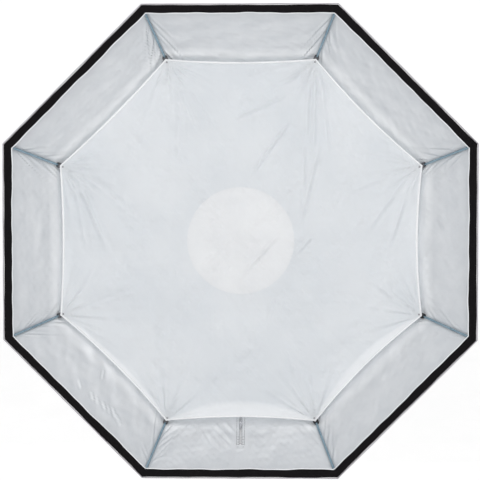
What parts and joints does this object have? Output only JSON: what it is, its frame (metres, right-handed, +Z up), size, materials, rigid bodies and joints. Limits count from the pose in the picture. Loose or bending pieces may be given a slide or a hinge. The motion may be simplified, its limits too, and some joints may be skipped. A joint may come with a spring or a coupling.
{
  "type": "octabox",
  "caption": "Eight-sided light softbox: silver cloth gores on sprung rods that fold from a turning speedring, with a white inner baffle and a hook-and-loop rim.",
  "frame": {"origin": "centre of the mount insert's rear face, where it meets the light head", "axes": "+Z up, -Y towards the open mouth along the mount axis, +X right as seen from the mouth"},
  "size_m": [1.5, 0.4716, 1.5],
  "materials": {
    "ring_steel": "machined",
    "ring_black": "satin black powder coat",
    "screw_steel": "bright",
    "knob_plastic": "moulded",
    "back_cloth": "woven nylon",
    "bracket_metal": "satin",
    "rod_steel": "bright spring steel",
    "tip_plastic": "moulded",
    "webbing": "woven webbing",
    "snap_metal": "dark",
    "silver_cloth": "silver coated, black outside",
    "loop_tape": "loop pile",
    "piping_cloth": "grey binding",
    "baffle_cloth": "thin white translucent",
    "hem_tape": "white binding tape",
    "disc_cloth": "thin white",
    "zip_tape": "woven tape",
    "zip_coil": "nylon coil",
    "zip_metal": "plated"
  },
  "bodies": {
    "mount_insert": {"mount_insert": "ring_steel"},
    "speedring": {"speedring_body": "ring_black", "ring_retainer": "ring_black", "retainer_screws": "screw_steel", "hinge_pins": "screw_steel", "rear_collar": "back_cloth", "gore_right": "silver_cloth", "gore_upper_right": "silver_cloth", "gore_top": "silver_cloth", "gore_upper_left": "silver_cloth", "gore_left": "silver_cloth", "gore_lower_left": "silver_cloth", "gore_bottom": "silver_cloth", "gore_lower_right": "silver_cloth", "front_loop_strip": "loop_tape", "edge_piping": "piping_cloth", "corner_pockets": "silver_cloth", "inner_baffle": "baffle_cloth", "baffle_hem": "hem_tape", "centre_disc": "disc_cloth", "baffle_snaps": "snap_metal"},
    "lock_knob": {"lock_knob": "knob_plastic", "lock_stud": "screw_steel"},
    "rod_1": {"rod_bracket_1": "bracket_metal", "rod_1": "rod_steel", "rod_tip_1": "tip_plastic"},
    "baffle_tab_1": {"baffle_tab_1": "webbing"},
    "rod_2": {"rod_bracket_2": "bracket_metal", "rod_2": "rod_steel", "rod_tip_2": "tip_plastic"},
    "baffle_tab_2": {"baffle_tab_2": "webbing"},
    "rod_3": {"rod_bracket_3": "bracket_metal", "rod_3": "rod_steel", "rod_tip_3": "tip_plastic"},
    "baffle_tab_3": {"baffle_tab_3": "webbing"},
    "rod_4": {"rod_bracket_4": "bracket_metal", "rod_4": "rod_steel", "rod_tip_4": "tip_plastic"},
    "baffle_tab_4": {"baffle_tab_4": "webbing"},
    "rod_5": {"rod_bracket_5": "bracket_metal", "rod_5": "rod_steel", "rod_tip_5": "tip_plastic"},
    "baffle_tab_5": {"baffle_tab_5": "webbing"},
    "rod_6": {"rod_bracket_6": "bracket_metal", "rod_6": "rod_steel", "rod_tip_6": "tip_plastic"},
    "baffle_tab_6": {"baffle_tab_6": "webbing"},
    "rod_7": {"rod_bracket_7": "bracket_metal", "rod_7": "rod_steel", "rod_tip_7": "tip_plastic"},
    "baffle_tab_7": {"baffle_tab_7": "webbing"},
    "rod_8": {"rod_bracket_8": "bracket_metal", "rod_8": "rod_steel", "rod_tip_8": "tip_plastic"},
    "baffle_tab_8": {"baffle_tab_8": "webbing"},
    "zip": {"zip_tapes": "zip_tape", "zip_coil": "zip_coil", "zip_stops": "zip_metal"},
    "zip_slider": {"zip_slider": "zip_metal"},
    "zip_pull": {"zip_pull": "zip_metal"}
  },
  "joints": [
    {"name": "ring_rotation", "type": "hinge", "parent": "mount_insert", "child": "speedring", "pos_m": [0, 0, 0], "axis": [0, 1, 0], "continuous": true},
    {"name": "lock_knob_turn", "type": "hinge", "parent": "speedring", "child": "lock_knob", "pos_m": [0.104, -0.0175, 0], "axis": [1, 0, 0], "range_deg": [-180, 180]},
    {"name": "fold_1", "type": "hinge", "parent": "speedring", "child": "rod_1", "pos_m": [0.0813, -0.034, 0.03368], "axis": [0.3827, 0, -0.9239], "range_deg": [0, 58], "deforming": ["gore_right", "gore_upper_right", "gore_top", "gore_upper_left", "gore_left", "gore_lower_left", "gore_bottom", "gore_lower_right", "front_loop_strip", "edge_piping", "corner_pockets", "inner_baffle", "baffle_hem", "centre_disc", "baffle_snaps", "rear_collar"]},
    {"name": "fold_2", "type": "hinge", "parent": "speedring", "child": "rod_2", "pos_m": [0.03368, -0.034, 0.0813], "axis": [0.9239, 0, -0.3827], "range_deg": [0, 58]},
    {"name": "fold_3", "type": "hinge", "parent": "speedring", "child": "rod_3", "pos_m": [-0.03368, -0.034, 0.0813], "axis": [0.9239, 0, 0.3827], "range_deg": [0, 58]},
    {"name": "fold_4", "type": "hinge", "parent": "speedring", "child": "rod_4", "pos_m": [-0.0813, -0.034, 0.03368], "axis": [0.3827, 0, 0.9239], "range_deg": [0, 58]},
    {"name": "fold_5", "type": "hinge", "parent": "speedring", "child": "rod_5", "pos_m": [-0.0813, -0.034, -0.03368], "axis": [-0.3827, 0, 0.9239], "range_deg": [0, 58]},
    {"name": "fold_6", "type": "hinge", "parent": "speedring", "child": "rod_6", "pos_m": [-0.03368, -0.034, -0.0813], "axis": [-0.9239, 0, 0.3827], "range_deg": [0, 58]},
    {"name": "fold_7", "type": "hinge", "parent": "speedring", "child": "rod_7", "pos_m": [0.03368, -0.034, -0.0813], "axis": [-0.9239, 0, -0.3827], "range_deg": [0, 58]},
    {"name": "fold_8", "type": "hinge", "parent": "speedring", "child": "rod_8", "pos_m": [0.0813, -0.034, -0.03368], "axis": [-0.3827, 0, -0.9239], "range_deg": [0, 58]},
    {"name": "tab_bend_1", "type": "hinge", "parent": "rod_1", "child": "baffle_tab_1", "pos_m": [0.58759, -0.31126, 0.24339], "axis": [0.3827, 0, -0.9239], "range_deg": [0, 20.13], "deforming": ["baffle_tab_1"]},
    {"name": "tab_bend_2", "type": "hinge", "parent": "rod_2", "child": "baffle_tab_2", "pos_m": [0.24339, -0.31126, 0.58759], "axis": [0.9239, 0, -0.3827], "range_deg": [0, 20.13], "deforming": ["baffle_tab_2"]},
    {"name": "tab_bend_3", "type": "hinge", "parent": "rod_3", "child": "baffle_tab_3", "pos_m": [-0.24339, -0.31126, 0.58759], "axis": [0.9239, 0, 0.3827], "range_deg": [0, 20.13], "deforming": ["baffle_tab_3"]},
    {"name": "tab_bend_4", "type": "hinge", "parent": "rod_4", "child": "baffle_tab_4", "pos_m": [-0.58759, -0.31126, 0.24339], "axis": [0.3827, 0, 0.9239], "range_deg": [0, 20.13], "deforming": ["baffle_tab_4"]},
    {"name": "tab_bend_5", "type": "hinge", "parent": "rod_5", "child": "baffle_tab_5", "pos_m": [-0.58759, -0.31126, -0.24339], "axis": [-0.3827, 0, 0.9239], "range_deg": [0, 20.13], "deforming": ["baffle_tab_5"]},
    {"name": "tab_bend_6", "type": "hinge", "parent": "rod_6", "child": "baffle_tab_6", "pos_m": [-0.24339, -0.31126, -0.58759], "axis": [-0.9239, 0, 0.3827], "range_deg": [0, 20.13], "deforming": ["baffle_tab_6"]},
    {"name": "tab_bend_7", "type": "hinge", "parent": "rod_7", "child": "baffle_tab_7", "pos_m": [0.24339, -0.31126, -0.58759], "axis": [-0.9239, 0, -0.3827], "range_deg": [0, 20.13], "deforming": ["baffle_tab_7"]},
    {"name": "tab_bend_8", "type": "hinge", "parent": "rod_8", "child": "baffle_tab_8", "pos_m": [0.58759, -0.31126, -0.24339], "axis": [-0.3827, 0, -0.9239], "range_deg": [0, 20.13], "deforming": ["baffle_tab_8"]},
    {"name": "zip_gather", "type": "slide", "parent": "rod_6", "child": "zip", "axis": [-0.9239, 0, 0.3827], "range_m": [0, 0.16], "deforming": ["zip_tapes", "zip_coil"]},
    {"name": "zip_run", "type": "hinge", "parent": "zip", "child": "zip_slider", "pos_m": [0, -1.2125, 0.23205], "axis": [-1, 0, 0], "range_deg": [-18.79, 3.13]},
    {"name": "zip_pull_swing", "type": "hinge", "parent": "zip_slider", "child": "zip_pull", "pos_m": [0, -0.31402, -0.59281], "axis": [-1, 0, 0], "range_deg": [0, 165]}
  ],
  "couplings": [
    {"joint": "fold_2", "follows": "fold_1", "ratio": 1},
    {"joint": "fold_3", "follows": "fold_1", "ratio": 1},
    {"joint": "fold_4", "follows": "fold_1", "ratio": 1},
    {"joint": "fold_5", "follows": "fold_1", "ratio": 1},
    {"joint": "fold_6", "follows": "fold_1", "ratio": 1},
    {"joint": "fold_7", "follows": "fold_1", "ratio": 1},
    {"joint": "fold_8", "follows": "fold_1", "ratio": 1},
    {"joint": "tab_bend_1", "follows": "fold_1", "ratio": 0.34703},
    {"joint": "tab_bend_2", "follows": "fold_1", "ratio": 0.34703},
    {"joint": "tab_bend_3", "follows": "fold_1", "ratio": 0.34703},
    {"joint": "tab_bend_4", "follows": "fold_1", "ratio": 0.34703},
    {"joint": "tab_bend_5", "follows": "fold_1", "ratio": 0.34703},
    {"joint": "tab_bend_6", "follows": "fold_1", "ratio": 0.34703},
    {"joint": "tab_bend_7", "follows": "fold_1", "ratio": 0.34703},
    {"joint": "tab_bend_8", "follows": "fold_1", "ratio": 0.34703},
    {"joint": "zip_gather", "follows": "fold_1", "m_per_rad": 0.15804}
  ]
}
